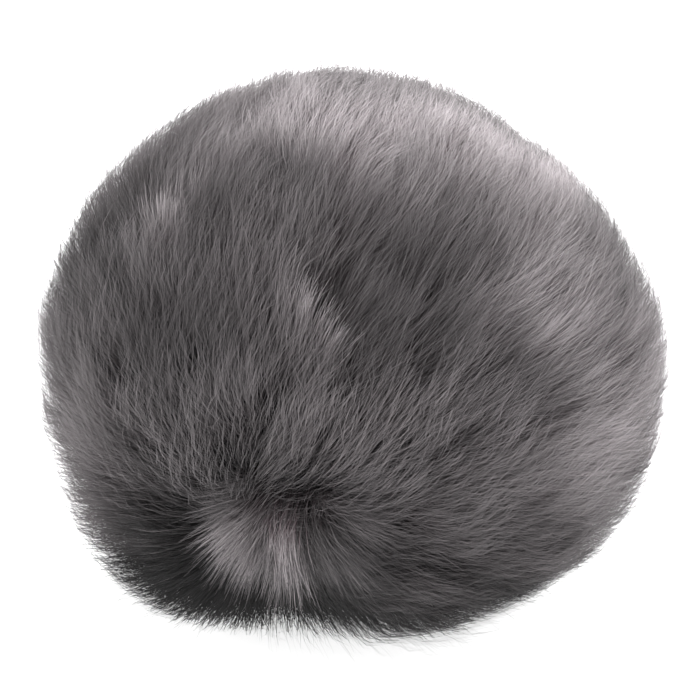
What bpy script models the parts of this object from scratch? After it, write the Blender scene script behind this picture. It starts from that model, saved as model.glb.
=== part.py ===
"""Ball-shaped furry windscreen for a small microphone, lying on its side.

A vented two-part basket holds still air round the microphone. A jacket of four fur gores and a
crown patch, with a black lining and an elastic hem, is pulled over it. A collar screwed to the
basket's rear carries a rubber boot, which a collet and a clamp ring squeeze on the microphone.

Every piece is modelled about the microphone's axis, local +Z, from the crown at -Z to the neck
at +Z. One empty lays that axis down, so that local +Z is world +Y and local +Y is world down.
"""

import math

import bmesh
import bpy
from mathutils import Matrix, Vector

MM = 0.001

# Driving dimensions, in millimetres.
BASKET_R = 50.0  # outside of the basket
BASKET_WALL = 2.0
CENTRE_HEIGHT = 56.5  # of the ball's centre above what it lies on
PILE_R = 68.0  # tips of the pile, across the ball and at the crown
PILE_R_UP = 59.5  # tips of the pile, straight up, where its weight lays it down
PILE_R_DOWN = 61.0  # where the pile's tips would reach below, if nothing flattened them
LOWER_FULLNESS = 2.6  # power of the lower half's outline, 2 for an ellipse: the pile spreads out
REAR_END = 68.0  # rear face of the clamp ring, along the axis, from the ball's centre
MIC_R = 10.5  # bore of the rubber boot
TUBE_R = 19.8  # outside of the collar's tube
THREAD_TRAVEL = 1.5  # how far the clamp ring and its washer run in

# Layers, as radii about the ball's centre.
MESH_R = 47.4
MESH_WALL = 0.6
RING_R = 45.0
LINING_R = 51.2
LINING_WALL = 0.6
FUR_R = 51.8
FLANGE_R = 47.3
FLANGE_WALL = 2.0
FOAM_R = 44.9

# Angles round the axis, and from the crown, in degrees.
SEGMENT = 18.0
SEAM = 45.0  # first of the four seams
GAP = 0.3  # between pieces that touch
HUB = 7.0
FRONT_RINGS = (HUB, 20.0, 37.5, 55.0, 72.5, 89.5)
REAR_RINGS = (90.5, 104.25, 118.5, 132.75, 147.0)
NECK_OPENING = 155.0
PATCH_RINGS = (3.0, 6.5, 9.7)
GORE_RINGS = (10.0, *FRONT_RINGS[1:], *REAR_RINGS[1:-1], 147.0, 149.0)
RIB_HALF_WIDTH = 1.5

# Rear fittings, along the axis.
TUBE_END = 62.0
CONE_START = 58.0
SHOULDER = (46.0, 47.7)
SHOULDER_R = 13.9
TUBE_BORE_R = 16.5
COLLET_END = TUBE_END + 0.7
WASHER_START = COLLET_END + 0.5 + THREAD_TRAVEL
WASHER_WALL = 1.0
CLAMP_START = 58.2
CLAMP_R = 24.0
LIP_R = 14.2  # bore of the clamp ring's lip and of the washer
KNURL_DEPTH = 0.9
SCREW_ANGLE = 151.0  # from the crown
SCREW_R = 1.1
SCREW_HEAD_R = 2.0
TURN_STEPS = 32
KNURL_STEPS = 60

# name: base colour, roughness, metallic
FINISHES = {
    "fur_grey": ((0.135, 0.125, 0.128), 0.75, 0.0),
    "lining_black": ((0.012, 0.012, 0.014), 0.9, 0.0),
    "hem_webbing": ((0.015, 0.015, 0.017), 0.8, 0.0),
    "elastic": ((0.03, 0.03, 0.032), 0.7, 0.0),
    "basket_plastic": ((0.022, 0.022, 0.024), 0.5, 0.0),
    "basket_mesh": ((0.05, 0.05, 0.053), 0.85, 0.0),
    "collar_plastic": ((0.018, 0.018, 0.02), 0.45, 0.0),
    "clamp_plastic": ((0.03, 0.03, 0.033), 0.35, 0.0),
    "boot_rubber": ((0.014, 0.014, 0.015), 0.65, 0.0),
    "washer_nylon": ((0.72, 0.71, 0.68), 0.4, 0.0),
    "foam": ((0.04, 0.04, 0.042), 0.95, 0.0),
    "screw_steel": ((0.32, 0.32, 0.33), 0.35, 1.0),
}


def clear_scene():
    for obj in list(bpy.data.objects):
        bpy.data.objects.remove(obj, do_unlink=True)


def new_collection(name):
    collection = bpy.data.collections.new(name)
    bpy.context.scene.collection.children.link(collection)
    return collection


def finish_of(name):
    """The finish as a Principled material, made once."""
    if name in bpy.data.materials:
        return bpy.data.materials[name]
    colour, roughness, metallic = FINISHES[name]
    material = bpy.data.materials.new(name)
    material.use_nodes = True
    shader = material.node_tree.nodes["Principled BSDF"]
    shader.inputs["Base Color"].default_value = (*colour, 1.0)
    shader.inputs["Roughness"].default_value = roughness
    shader.inputs["Metallic"].default_value = metallic
    return material


def add_object(name, bm, finish, collection, axis):
    """The bmesh as an object about the microphone's axis."""
    mesh = bpy.data.meshes.new(name)
    bm.to_mesh(mesh)
    bm.free()
    mesh.materials.append(finish_of(finish))
    mesh.shade_smooth()
    mesh.set_sharp_from_angle(angle=math.radians(35))
    obj = bpy.data.objects.new(name, mesh)
    obj.parent = axis
    collection.objects.link(obj)
    return obj


def on_sphere(radius, polar, azimuth):
    """A local point from its radius and its angles in degrees, the polar one from the crown."""
    p, a = math.radians(polar), math.radians(azimuth)
    return radius * MM * Vector((math.sin(p) * math.cos(a), math.sin(p) * math.sin(a), -math.cos(p)))


def arc(radius, start, end, steps):
    """(r, z) points on a circle about the centre, from one angle from the neck to another."""
    angles = [math.radians(start + (end - start) * i / steps) for i in range(steps + 1)]
    return [(radius * math.sin(a), radius * math.cos(a)) for a in angles]


def reach(radius, r):
    """How far along the axis a circle of that radius is when it is r from the axis."""
    return math.sqrt(radius * radius - r * r)


def profile(points, closed):
    """(r, z) points as edges in the plane of local X and Z."""
    bm = bmesh.new()
    verts = [bm.verts.new((r * MM, 0.0, z * MM)) for r, z in points]
    pairs = list(zip(verts, verts[1:]))
    if closed:
        pairs.append((verts[-1], verts[0]))
    for pair in pairs:
        bm.edges.new(pair)
    return bm


def turned(name, points, finish, collection, axis, closed=True, steps=TURN_STEPS):
    """A profile turned about the axis. Its outer side runs from the rear to the front."""
    obj = add_object(name, profile(points, closed), finish, collection, axis)
    screw = obj.modifiers.new("turn", "SCREW")
    screw.axis = "Z"
    screw.steps = screw.render_steps = steps
    screw.use_merge_vertices = True
    screw.merge_threshold = 0.00001
    screw.use_smooth_shade = True
    return obj


def thicken(obj, wall, offset):
    solid = obj.modifiers.new("wall", "SOLIDIFY")
    solid.thickness = wall * MM
    solid.offset = offset
    solid.use_even_offset = True
    return solid


def spun(points, steps):
    """A bmesh surface of an open (r, z) profile spun right round from the first seam."""
    bm = profile(points, closed=False)
    bmesh.ops.rotate(bm, verts=bm.verts, matrix=rotation_z(SEAM))
    bmesh.ops.spin(
        bm, geom=bm.verts[:] + bm.edges[:], cent=(0, 0, 0), axis=(0, 0, 1),
        angle=2 * math.pi, steps=steps, use_merge=True,
    )
    bmesh.ops.remove_doubles(bm, verts=bm.verts, dist=0.00001)
    bmesh.ops.recalc_face_normals(bm, faces=bm.faces)
    return bm


def rotation_z(degrees):
    return Matrix.Rotation(math.radians(degrees), 3, "Z")


def rings_profile(radius, rings):
    return [(radius * math.sin(math.radians(p)), -radius * math.cos(math.radians(p))) for p in rings]


def polar_of(point):
    return math.degrees(math.acos(max(-1.0, min(1.0, -point.z / point.length))))


def outwards(bm):
    """Turns an open surface about the centre so that its faces look away from it."""
    face = next(iter(bm.faces))
    if face.normal.dot(face.calc_center_median()) < 0:
        bmesh.ops.reverse_faces(bm, faces=bm.faces)


def lattice(bm, windows):
    """Opens a window in each face that windows picks, with a rib's half width left round it."""
    faces = [f for f in bm.faces if windows(f)]
    bmesh.ops.inset_individual(bm, faces=faces, thickness=RIB_HALF_WIDTH * MM, use_even_offset=True)
    bmesh.ops.delete(bm, geom=faces, context="FACES")


def basket_front(collection, axis):
    """The front half: a hub at the crown and five rows of windows, ten in the first row."""
    bm = spun(rings_profile(BASKET_R, FRONT_RINGS), round(360 / SEGMENT))
    hub_ring = [v for v in bm.verts if polar_of(v.co) < HUB + 1]
    first_row = [e for e in bm.edges if sorted(v in hub_ring for v in e.verts) == [False, True]]
    by_azimuth = sorted(first_row, key=lambda e: math.atan2(e.verts[0].co.y, e.verts[0].co.x))
    bmesh.ops.dissolve_edges(bm, edges=by_azimuth[::2], use_verts=False)
    hub_edges = [e for e in bm.edges if all(v in hub_ring for v in e.verts)]
    hub = bmesh.ops.contextual_create(bm, geom=hub_edges)["faces"]
    bmesh.ops.recalc_face_normals(bm, faces=bm.faces)
    outwards(bm)
    lattice(bm, lambda face: face not in hub)
    obj = add_object("basket_front_half", bm, "basket_plastic", collection, axis)
    thicken(obj, BASKET_WALL, -1.0)


def basket_rear(collection, cutters, axis):
    """The rear half: four rows of windows and a plain band at the neck, with countersunk holes."""
    bm = spun(rings_profile(BASKET_R, (*REAR_RINGS, NECK_OPENING)), round(360 / SEGMENT))
    outwards(bm)
    lattice(bm, lambda face: polar_of(face.calc_center_median()) < REAR_RINGS[-1])
    obj = add_object("basket_rear_half", bm, "basket_plastic", collection, axis)
    thicken(obj, BASKET_WALL, -1.0)
    head = [(0.0, 2.0), (SCREW_HEAD_R + 1.1, 2.0), (SCREW_HEAD_R + 0.35, 0.0), (SCREW_R + 0.3, -1.0),
            (SCREW_R + 0.3, -5.0), (0.0, -5.0)]
    for i in range(3):
        cut(obj, radial_piece(f"countersink_{i + 1}", head, i, "screw_steel", cutters, axis))


def radial_piece(name, points, index, finish, collection, axis):
    """A piece turned about one of the three screws' own axes. Its z is 0 at the basket's face."""
    obj = turned(name, points, finish, collection, axis, steps=16)
    direction = on_sphere(BASKET_R, SCREW_ANGLE, 90.0 + 120.0 * index)
    obj.location = direction
    obj.rotation_euler = direction.to_track_quat("Z", "Y").to_euler()
    return obj


def cut(obj, cutter):
    cutter.hide_render = True
    cutter.display_type = "WIRE"
    boolean = obj.modifiers.new(cutter.name, "BOOLEAN")
    boolean.operation = "DIFFERENCE"
    boolean.object = cutter
    boolean.solver = "EXACT"


def basket_linings(collection, axis):
    """The fine cloth inside each half, and the ring that joins the halves over its edges."""
    front = spun(rings_profile(MESH_R, (2.0, *FRONT_RINGS[:-1], 89.7)), round(360 / SEGMENT))
    rear = spun(rings_profile(MESH_R, (90.3, *REAR_RINGS[1:-1], 145.0)), round(360 / SEGMENT))
    rim = [v for v in front.verts if polar_of(v.co) < HUB - 1]
    edges = [e for e in front.edges if all(v in rim for v in e.verts)]
    bmesh.ops.contextual_create(front, geom=edges)
    bmesh.ops.recalc_face_normals(front, faces=front.faces)
    for name, bm in (("basket_front_mesh", front), ("basket_rear_mesh", rear)):
        outwards(bm)
        thicken(add_object(name, bm, "basket_mesh", collection, axis), MESH_WALL, -1.0)
    wall, half = 1.4, 4.5
    ring = [(RING_R, half), (RING_R, -half), (RING_R - wall, -half), (RING_R - wall, half)]
    turned("basket_joining_ring", ring, "basket_plastic", collection, axis)


def pile_surface(point):
    """The point on the pile's outside in a point's direction from the centre."""
    d = point.normalized()
    below = d.y > 0
    depth, power = (PILE_R_DOWN, LOWER_FULLNESS) if below else (PILE_R_UP, 2.0)
    level = math.hypot(d.x, d.z)
    radius = ((level / PILE_R) ** power + (abs(d.y) / depth) ** power) ** (-1.0 / power)
    if below:
        radius = min(radius, CENTRE_HEIGHT / d.y)
    return d * radius * MM


def patch_grid(radius, rings, start, end, columns):
    """A grid laid on a sphere between two angles round the axis, with a row at each ring."""
    bm = bmesh.new()
    rows = len(rings) - 1
    bmesh.ops.create_grid(bm, x_segments=columns, y_segments=rows, size=1.0)
    for vert in bm.verts:
        column, row = (vert.co.x + 1) / 2 * columns, (vert.co.y + 1) / 2 * rows
        vert.co = on_sphere(radius, rings[round(row)], start + (end - start) * column / columns)
    bmesh.ops.recalc_face_normals(bm, faces=bm.faces)
    outwards(bm)
    return bm


def grown(bm):
    """Turns an open patch of backing into a closed solid that reaches the tips of the pile."""
    made = bmesh.ops.extrude_face_region(bm, geom=bm.faces[:])["geom"]
    for vert in (item for item in made if isinstance(item, bmesh.types.BMVert)):
        vert.co = pile_surface(vert.co)
    bmesh.ops.recalc_face_normals(bm, faces=bm.faces)
    return bm


def jacket(collection, axis):
    """Four gores with their linings, and the round crown patch where the gores meet."""
    seam_angle = math.degrees(GAP / FUR_R)
    for i, place in enumerate(("bottom", "left", "top", "right")):
        start = SEAM + 90.0 * i
        fur = patch_grid(FUR_R, GORE_RINGS, start + seam_angle, start + 90.0 - seam_angle, 5)
        add_object(f"fur_gore_{place}", grown(fur), "fur_grey", collection, axis)
        rings = (3.0, *GORE_RINGS[1:-1], 148.5)
        lining = patch_grid(LINING_R, rings, start + seam_angle, start + 90.0 - seam_angle, 5)
        obj = add_object(f"lining_gore_{place}", lining, "lining_black", collection, axis)
        thicken(obj, LINING_WALL, -1.0)
    patch = spun(rings_profile(FUR_R, PATCH_RINGS), round(360 / SEGMENT))
    rim = [v for v in patch.verts if polar_of(v.co) < PATCH_RINGS[0] + 1]
    edges = [e for e in patch.edges if all(v in rim for v in e.verts)]
    bmesh.ops.contextual_create(patch, geom=edges)
    bmesh.ops.recalc_face_normals(patch, faces=patch.faces)
    outwards(patch)
    add_object("fur_crown_patch", grown(patch), "fur_grey", collection, axis)


def hem(collection, axis):
    """The tape folded round the jacket's opening, and the elastic in it."""
    outer, inner, fold = 24.8, 21.4, 54.6
    lip = [(inner, 50.0), (22.6, 49.4)]
    tape = [(26.0, 46.7), (outer, 48.8), (outer, fold), (23.2, fold + 0.9), (inner, fold), *lip]
    obj = turned("hem_tape", tape[::-1], "hem_webbing", collection, axis, closed=False)
    tape_wall, clearance = 0.7, 0.4
    thicken(obj, tape_wall, 0.0)
    inner += tape_wall / 2 + clearance
    outer -= tape_wall / 2 + clearance
    front, rear = 50.6, fold - 0.6
    band = [(outer, rear), (outer, front), (inner, front), (inner, rear)]
    turned("hem_elastic", band, "elastic", collection, axis)


def collar(collection, cutters, axis):
    """The tube that carries the microphone fittings, with a dished flange inside the basket."""
    rim = 180.0 - REAR_RINGS[-1]
    inner_r = FLANGE_R - FLANGE_WALL
    mouth_r = TUBE_BORE_R + 0.1
    outside = [(TUBE_R, TUBE_END), *arc(FLANGE_R, math.degrees(math.asin(TUBE_R / FLANGE_R)), rim, 3)]
    inside = arc(inner_r, rim, math.degrees(math.asin(mouth_r / inner_r)), 4)
    bore = [
        (mouth_r, SHOULDER[0]), (SHOULDER_R, SHOULDER[0]), (SHOULDER_R, SHOULDER[1]),
        (TUBE_BORE_R, SHOULDER[1]), (TUBE_BORE_R, CONE_START), (TUBE_BORE_R + 2.0, TUBE_END),
    ]
    obj = turned("neck_collar", outside + inside + bore, "collar_plastic", collection, axis)
    hole = [(0.0, 1.0), (SCREW_R + 0.3, 1.0), (SCREW_R + 0.3, -8.0), (0.0, -8.0)]
    for i in range(3):
        cut(obj, radial_piece(f"pilot_{i + 1}", hole, i, "screw_steel", cutters, axis))


def screws(collection, axis):
    """Three countersunk screws, flush with the basket, each with a round socket."""
    outline = [
        (SCREW_HEAD_R, -0.15), (SCREW_R, -1.1), (SCREW_R, -4.0), (0.0, -4.3), (0.0, -0.9), (0.75, -0.9),
        (0.75, -0.15),
    ]
    for i in range(3):
        radial_piece(f"collar_screw_{i + 1}", outline, i, "screw_steel", collection, axis)


def seals(collection, axis):
    """The round seal where the tube leaves the basket, and the foam inside round the neck."""
    section_r = 1.0
    ring_r = TUBE_R + GAP + section_r
    along = reach(BASKET_R + GAP + section_r, ring_r)
    angles = [math.radians(-45.0 * i) for i in range(8)]
    section = [(ring_r + section_r * math.cos(a), along + section_r * math.sin(a)) for a in angles]
    turned("collar_seal", section, "boot_rubber", collection, axis)
    inner, outer = 17.4, 33.0
    start = math.degrees(math.asin(inner / FOAM_R))
    end = math.degrees(math.asin(outer / FOAM_R))
    pad = [*arc(FOAM_R, start, end, 5), (outer - 2.0, 27.6), (inner, 35.0)]
    turned("neck_foam", pad, "foam", collection, axis)


def boot_profile():
    """The rubber sleeve: a flange inside the basket, and four grip ribs along the bore."""
    outer, flange, relief, front, rear = 13.5, 16.2, 0.8, 43.9, 67.2
    outside = [(outer, rear), (outer, SHOULDER[0] - GAP), (flange, SHOULDER[0] - GAP), (flange, front)]
    bore = [(MIC_R + relief / 2, front)]
    pitch, crest, ramp = 6.0, 1.5, 0.8
    for i in range(4):
        start = front + 1.0 + pitch * i
        bore += [(MIC_R, start), (MIC_R, start + crest)]
        if i < 3:
            bore += [(MIC_R + relief, start + crest + ramp), (MIC_R + relief, start + pitch - ramp)]
    bore.append((MIC_R + relief, rear))
    return outside + bore


def clamp(collection, cutters, axis):
    """The boot, the slotted collet round it, the thrust washer and the knurled clamp ring."""
    turned("mic_boot", boot_profile(), "boot_rubber", collection, axis)
    inner, outer, head = SHOULDER_R, TUBE_BORE_R - 0.4, TUBE_BORE_R + 1.6
    front, rear = SHOULDER[1] + GAP, COLLET_END
    cone = [(head, rear), (head, TUBE_END), (outer, CONE_START)]
    outline = [*cone, (outer, front), (inner, front), (inner, rear)]
    collet = turned("mic_collet", outline, "collar_plastic", collection, axis)
    slot_width, slot_start = 1.2, 51.0
    for i in range(3):
        cut(collet, slot_cutter(f"slot_{i + 1}", slot_width, slot_start, 60.0 * i, cutters, axis))
    outer, front, rear = TUBE_R - 0.4, WASHER_START, WASHER_START + WASHER_WALL
    washer = [(outer, rear), (outer, front), (LIP_R, front), (LIP_R, rear)]
    turned("thrust_washer", washer, "washer_nylon", collection, axis)
    clamp_ring(collection, axis)


def slot_cutter(name, width, start, turn, cutters, axis):
    bm = bmesh.new()
    bmesh.ops.create_cube(bm, size=1.0)
    length = 20.0
    bmesh.ops.scale(bm, verts=bm.verts, vec=(60.0 * MM, width * MM, length * MM))
    bmesh.ops.translate(bm, verts=bm.verts, vec=(0, 0, (start + length / 2) * MM))
    obj = add_object(name, bm, "collar_plastic", cutters, axis)
    obj.rotation_euler.z = math.radians(turn + 15.0)
    return obj


def clamp_ring(collection, axis):
    """A cap ring over the tube's end. Every third meridian of its grip is drawn in as a knurl."""
    skirt_r = TUBE_R + 0.4
    lip_front = WASHER_START + WASHER_WALL + GAP
    outline = [
        (CLAMP_R - 1.2, REAR_END), (CLAMP_R, REAR_END - 1.2), (CLAMP_R, CLAMP_START + 0.8),
        (CLAMP_R - 0.8, CLAMP_START), (skirt_r, CLAMP_START), (skirt_r, lip_front),
        (LIP_R, lip_front), (LIP_R, REAR_END - 0.5), (LIP_R + 0.5, REAR_END),
    ]
    bm = spun([*outline, outline[0]], KNURL_STEPS)
    for vert in bm.verts:
        radius = math.hypot(vert.co.x, vert.co.y)
        step = round(math.degrees(math.atan2(vert.co.y, vert.co.x)) * KNURL_STEPS / 360.0)
        if radius > (CLAMP_R - 0.1) * MM and step % 3 == 0:
            vert.co.xy *= (CLAMP_R - KNURL_DEPTH) / CLAMP_R
    bmesh.ops.recalc_face_normals(bm, faces=bm.faces)
    add_object("clamp_ring", bm, "clamp_plastic", collection, axis)


def build():
    clear_scene()
    parts = new_collection("furry_windscreen")
    cutters = new_collection("cutters")
    axis = bpy.data.objects.new("microphone_axis", None)
    axis.location = (0.0, 0.0, CENTRE_HEIGHT * MM)
    axis.rotation_euler = (math.radians(-90.0), 0.0, 0.0)
    parts.objects.link(axis)
    basket_front(parts, axis)
    basket_rear(parts, cutters, axis)
    basket_linings(parts, axis)
    jacket(parts, axis)
    hem(parts, axis)
    collar(parts, cutters, axis)
    screws(parts, axis)
    seals(parts, axis)
    clamp(parts, cutters, axis)


build()
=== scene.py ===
"""A grey long-pile furry windscreen on a pale floor, lying on its side with its crown to the front.

The fur is real strands, grown on the jacket's backing. They leave the crown in a whorl, lie back
towards the neck, and stand out in a tuft on the crown patch itself.
"""

import math

import bmesh
import bpy
import numpy as np
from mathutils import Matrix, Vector


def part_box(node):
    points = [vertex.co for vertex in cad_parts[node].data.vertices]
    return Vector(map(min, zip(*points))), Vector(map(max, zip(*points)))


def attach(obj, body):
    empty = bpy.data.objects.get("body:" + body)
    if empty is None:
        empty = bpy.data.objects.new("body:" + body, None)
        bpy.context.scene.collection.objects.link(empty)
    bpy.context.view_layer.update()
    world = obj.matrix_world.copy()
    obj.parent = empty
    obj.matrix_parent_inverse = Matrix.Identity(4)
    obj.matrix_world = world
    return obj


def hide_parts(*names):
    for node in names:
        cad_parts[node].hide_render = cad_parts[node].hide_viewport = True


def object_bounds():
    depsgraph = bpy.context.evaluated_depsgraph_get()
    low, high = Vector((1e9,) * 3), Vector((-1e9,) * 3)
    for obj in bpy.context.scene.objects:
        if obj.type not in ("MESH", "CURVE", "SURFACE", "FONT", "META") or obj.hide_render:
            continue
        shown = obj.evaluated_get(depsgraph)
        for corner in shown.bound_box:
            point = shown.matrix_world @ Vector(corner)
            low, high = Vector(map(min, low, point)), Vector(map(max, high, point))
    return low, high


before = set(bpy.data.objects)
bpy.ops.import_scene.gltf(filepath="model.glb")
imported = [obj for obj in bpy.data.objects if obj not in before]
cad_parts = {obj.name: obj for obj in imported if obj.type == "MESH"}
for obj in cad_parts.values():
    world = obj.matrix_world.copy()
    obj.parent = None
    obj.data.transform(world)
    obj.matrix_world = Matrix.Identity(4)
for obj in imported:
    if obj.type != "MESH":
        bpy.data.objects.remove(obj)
cad_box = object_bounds()

MM = 0.001
SEED = 7
RANDOM = np.random.default_rng(SEED)

# The ball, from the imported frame.
mesh_low, mesh_high = (np.array(corner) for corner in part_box("basket_front_mesh"))
CENTRE = np.array([0.0, 0.0, (mesh_low[2] + mesh_high[2]) / 2])
CROWN = np.array([0.0, -1.0, 0.0])

# The pile's outline, as the jacket was cut and as its weight flattens it.
PILE_R = 68.0 * MM
PILE_R_UP = cad_box[1][2] - CENTRE[2] + 2.5 * MM  # the hairs stand a little over the cut pile
PILE_R_DOWN = 61.0 * MM
LOWER_FULLNESS = 2.6
BACKING_R = 52.4 * MM
KNIT_R = 52.0 * MM  # from the axis, where the knits' columns have their true pitch
PATCH_EDGE = 9.8  # of the crown patch, in degrees from the crown
NECK_EDGE = 148.5
BANDS = (PATCH_EDGE, 65.0, 100.0, NECK_EDGE)  # how each gore's fur is split into pieces

# The backing's seams, which draw it in and pucker it.
SEAM_PULL = 0.5 * MM
SEAM_WIDTH = 1.2 * MM
PUCKER = 0.08 * MM
PUCKER_RUN = 0.9 * MM  # along the seam, for each radian of it
PUCKER_WIDTH = 3.0 * MM

GRIP_RIDGES = (23.2 * MM, 24.0 * MM)  # of the clamp ring's grip, from its axis
PLACES = ("right", "top", "left", "bottom")  # of the gores, in order round the axis from +X

# Camera.
VIEW_AZIMUTH = 14.0
VIEW_ELEVATION = 27.0
LENS = 120.0
SENSOR = 36.0
BALL_SHARE = 0.89  # of the frame's width that the ball takes

# Studio.
FLOOR_GREY = 0.7
FLOOR_GLOW = 0.75
WORLD_STRENGTH = 1.9

# Fur. It grows in clumps of strands, and neighbouring clumps hang together in locks.
CLUMP_SPACING = 1.4 * MM
STRANDS_PER_CLUMP = 12
STRAND_SPREAD = 0.8  # of a clump's strands, in clump spacings
LOCK_SPACING = 5.5 * MM
STRAND_RINGS = 5  # points along a strand
STRAND_WIDTH = 0.145 * MM
STRAND_TAPER = 0.9  # how much of that is gone at the tip
STRAND_ROLL = 0.6  # how far the strands turn about their own run, in radians
CLUMP_PULL = 0.28  # how much of the way a strand's tip is drawn to its clump's, at most
OFF_FLOOR = 0.15 * MM  # the least height of a strand's middle line
PILE_LIE = 13.5 * MM  # how far a hair's tip lies from above its root
LAY_UP_RIGHT = 0.85  # how far the pile is drawn upwards as it leaves the crown, at each side
LAY_UP_LEFT = 0.6
LAY_UP_UNTIL = (95.0, 140.0)  # where that begins to fade and ends, in degrees from the crown
LEAST_HEIGHT = 3.0 * MM  # of a clump, before its strands vary
FADE_IN = 1.4 * MM  # how far inside the outline the shortest strands end
FADE_OUT = 1.8 * MM  # and how far past that the others end, on average
GUARD_FROM = 1.2 * MM  # strands that pass the outline by this much are finer and lighter
GUARD_REACH = 7.0 * MM  # how far a strand is let past it, at most
GUARD_WIDTH = 0.55  # of the others'
HELD_BACK = 0.85  # how much of what passes the outline is drawn back to it
STRAY_SHARE = 0.04  # of the strands
STRAY_BEND = 2.6  # how far a stray strand's tip is off, in mm
USUAL_BEND = 0.85

# How the hairs vary, slowly over the ball, from place to place, and by lock, clump and strand, and
# what each feature of the pile adds. Full is their share of the outline's height, and middle their
# tone, before that. Heights and lies are shares, turns are in radians, lifts change how soon a hair
# rises, and tones are on a scale from 0 to 1.
TURN = {"slow": 0.16, "place": 0.10, "clump": 0.08, "lock": 0.18, "strand": 0.19}
HEIGHT = {
    "full": 1.04, "clump": 0.035, "place": 0.05, "lock": 0.09, "strand": 0.09,
    "whorl": -0.12, "raised": 0.05, "hollow": -0.6, "under_tuft": -0.45,
}
LIE = {"hollow": -0.25, "strand": 0.2}
LIFT = {"clump": 0.08, "lock": 0.25, "raised": -0.5, "whorl": -0.7}
TONE = {
    "middle": 0.49, "clump": 0.018, "place": 0.042, "lock": 0.055, "strand": 0.04,
    # raised lightens the colour as painted highlight; hollow, under_tuft and whorl darken it as painted
    # shade
    "raised": 0.08, "hollow": -0.28, "under_tuft": -0.34, "whorl": -0.06,
    "undercoat": -0.07, "guard": 0.06,
}
UNDERCOAT_SHARE = 0.35  # of the strands, which are shorter and darker
UNDERCOAT_HEIGHT = (0.45, 0.85)  # of the others'
UNDERCOAT_LIE = 0.75
RAISED_EVEN = 0.7  # how much less the strands of a raised fringe vary
UNDERSIDE_SHADE = 0.5  # how much darker the pile is painted underneath: painted shade
UNDERSIDE_SHADE_FROM = (0.2, 0.62)  # how far down that begins and is full, as a share of the radius
UNDERSIDE_SPARE = 0.7  # how much less the strands pass the outline there
UNDERSIDE_SPARE_FROM = (0.45, 0.8)

# The whorl, where the hairs part.
WHORL = (14.0, -120.0)  # degrees from the crown and round it, just past the patch's lower edge
WHORL_EDGE = (6.0, 22.0)  # degrees from it where its combed hairs begin to give way, and are gone
COMBED = {"turn": 0.8, "bend": 0.6, "depth": 0.35}  # how much less of each its hairs have
UNDER_TUFT = (24.0, -90.0)  # the middle of the tips that the tuft hangs over, in the same degrees
UNDER_TUFT_SIZE = 0.22  # how far they spread from it, as a share of the radius

# The tuft on the crown. Each fan of it: strands, its turn from straight down and that turn's
# spread (in radians, + to the right), how far it stands out and its length (in mm), tone, and how
# far out its hairs stay dark, as a power.
TUFT_MIDDLE = (5.0, -55.0)  # in degrees from the crown and round it
TUFT_EDGE = 7.0  # of the roots, in degrees from its middle
TUFT_LOCK = 25  # strands
TUFT_LOCKS_VARY = {"root": 0.25, "out": 0.09, "length": 0.06, "tone": 0.06}
TUFT_STRANDS_VARY = {"root": 0.02, "turn": 0.09, "out": 0.08, "length": 0.09, "tone": 0.09}
TUFT_BEND = 0.8 * MM
# The lighter fans' tones, 1.00 most of all, are partly the hair's own and partly painted highlight
# where the tuft stands out into the light.
TUFT_FANS = (
    (300, -1.55, 0.15, 8.0, 13.0, 0.38, 1.2),
    (420, -1.15, 0.15, 10.0, 14.5, 0.46, 1.2),
    (620, -0.68, 0.15, 12.5, 18.0, 0.64, 1.3),
    (520, -0.32, 0.13, 13.5, 20.0, 0.56, 1.3),
    (360, 0.00, 0.14, 14.0, 20.0, 0.44, 1.3),
    (190, 0.20, 0.05, 15.5, 20.5, 1.00, 2.2),
    (450, 0.50, 0.20, 14.0, 19.5, 0.33, 1.3),
    (450, 0.90, 0.25, 13.0, 19.5, 0.36, 1.3),
    (420, 1.30, 0.25, 10.0, 17.0, 0.40, 1.3),
    (180, 0.05, 0.80, 14.0, 16.0, 0.60, 1.6),
)

# Ruffles, where the pile parts. Each is a fringe with a hollow beyond it: degrees from the
# crown, degrees round it, half width in mm, strength, slope.
RUFFLES = (
    (40, 84, 6.0, 1.0, -0.9), (62, 124, 4.5, 0.9, 0.5), (61, 33, 4.5, 0.8, 0.2),
    (84, 21, 5.0, 0.8, 0.4), (46, 70, 4.0, 0.5, -0.3), (50, -158, 5.0, 0.7, 0.0),
    (32, -22, 6.0, 0.7, 0.3), (69, 64, 5.0, 0.4, 0.5), (68, 100, 6.0, 0.5, -0.2),
    (74, -8, 5.5, 0.4, 0.0), (28, -161, 5.0, 0.6, 0.2), (67, 118, 4.0, 0.8, 0.3),
)
MORE_RUFFLES = 14  # over the rear half
FRINGE_STRANDS = 20  # along each ruffle, for each mm of its half width
FRINGE_SPARE = 2.0 * MM
FRINGE_LIFT = -0.3
FRINGE_HEIGHT = 1.06
FRINGE_VARIES = {"height": 0.05, "turn": 0.16, "lie": 0.04, "tone": 0.13}
FRINGE_BACK = 1.5 * MM  # how far a fringe's middle lies before the edge of its hollow
FRINGE_DEPTH = 1.5  # how far out its hairs stay dark, as a power

# A hair's colour from root to tip, before its tone.
HAIR_COLOURS = (
    (0.0, (0.006, 0.005, 0.0055)), (0.28, (0.031, 0.0235, 0.0255)),
    (0.55, (0.068, 0.061, 0.063)), (1.0, (0.152, 0.140, 0.144)),
)
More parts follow.
